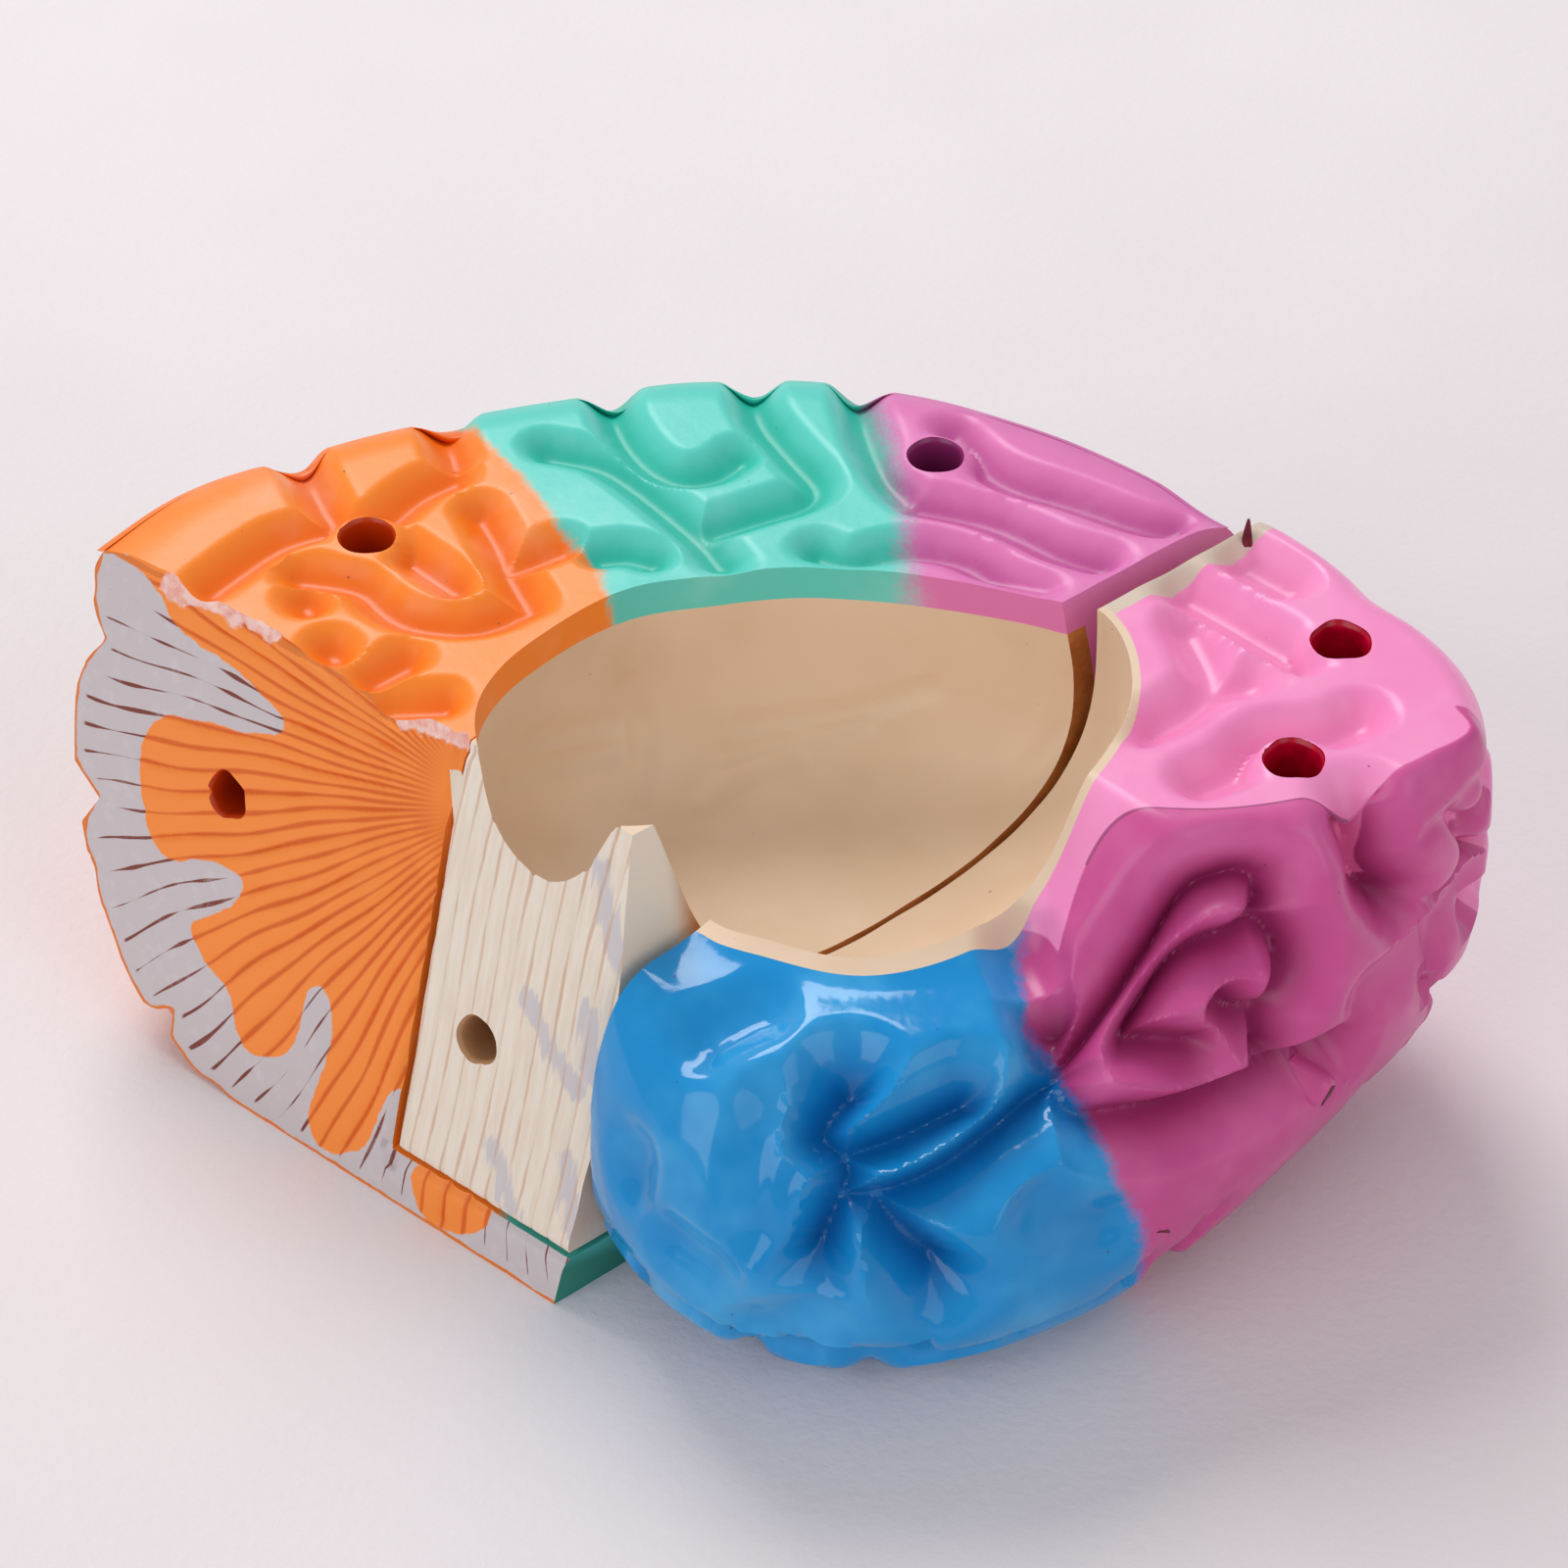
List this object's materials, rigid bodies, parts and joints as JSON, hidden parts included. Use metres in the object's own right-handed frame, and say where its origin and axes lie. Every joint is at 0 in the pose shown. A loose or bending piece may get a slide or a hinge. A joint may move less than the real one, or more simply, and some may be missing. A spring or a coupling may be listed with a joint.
{
  "type": "brain anatomy model",
  "caption": "Right half of a colour-coded dissectible teaching brain, midline face up, with an open hollow, peg sockets and a pull-off temporal-occipital section.",
  "frame": {"origin": "under the middle of the part's box, on the table", "axes": "+X from forehead to back of head, +Y towards the crown, +Z out of the midline face"},
  "size_m": [0.163, 0.1155, 0.0604],
  "materials": {
    "frontal_parietal_paint": "cast PVC, airbrushed satin lacquer in orange, teal and mauve, grey on the cut cortex",
    "cream_core": "cast PVC, self-coloured cream, satin",
    "temporal_occipital_paint": "cast PVC, airbrushed gloss lacquer in pink and blue",
    "cream_liner": "cast PVC, self-coloured cream, satin",
    "pin_plastic": "moulded pin, off-white"
  },
  "bodies": {
    "frontal_parietal_section": {"frontal_parietal_cortex": "frontal_parietal_paint", "frontal_parietal_core": "cream_core", "upper_locating_pin": "pin_plastic", "lower_locating_pin": "pin_plastic"},
    "temporal_occipital_section": {"temporal_occipital_cortex": "temporal_occipital_paint", "temporal_occipital_core": "cream_liner"}
  },
  "joints": [
    {"name": "temporal_section_pull", "type": "slide", "parent": "frontal_parietal_section", "child": "temporal_occipital_section", "axis": [0.7848, -0.6198, 0], "range_m": [0, 0.03]}
  ]
}
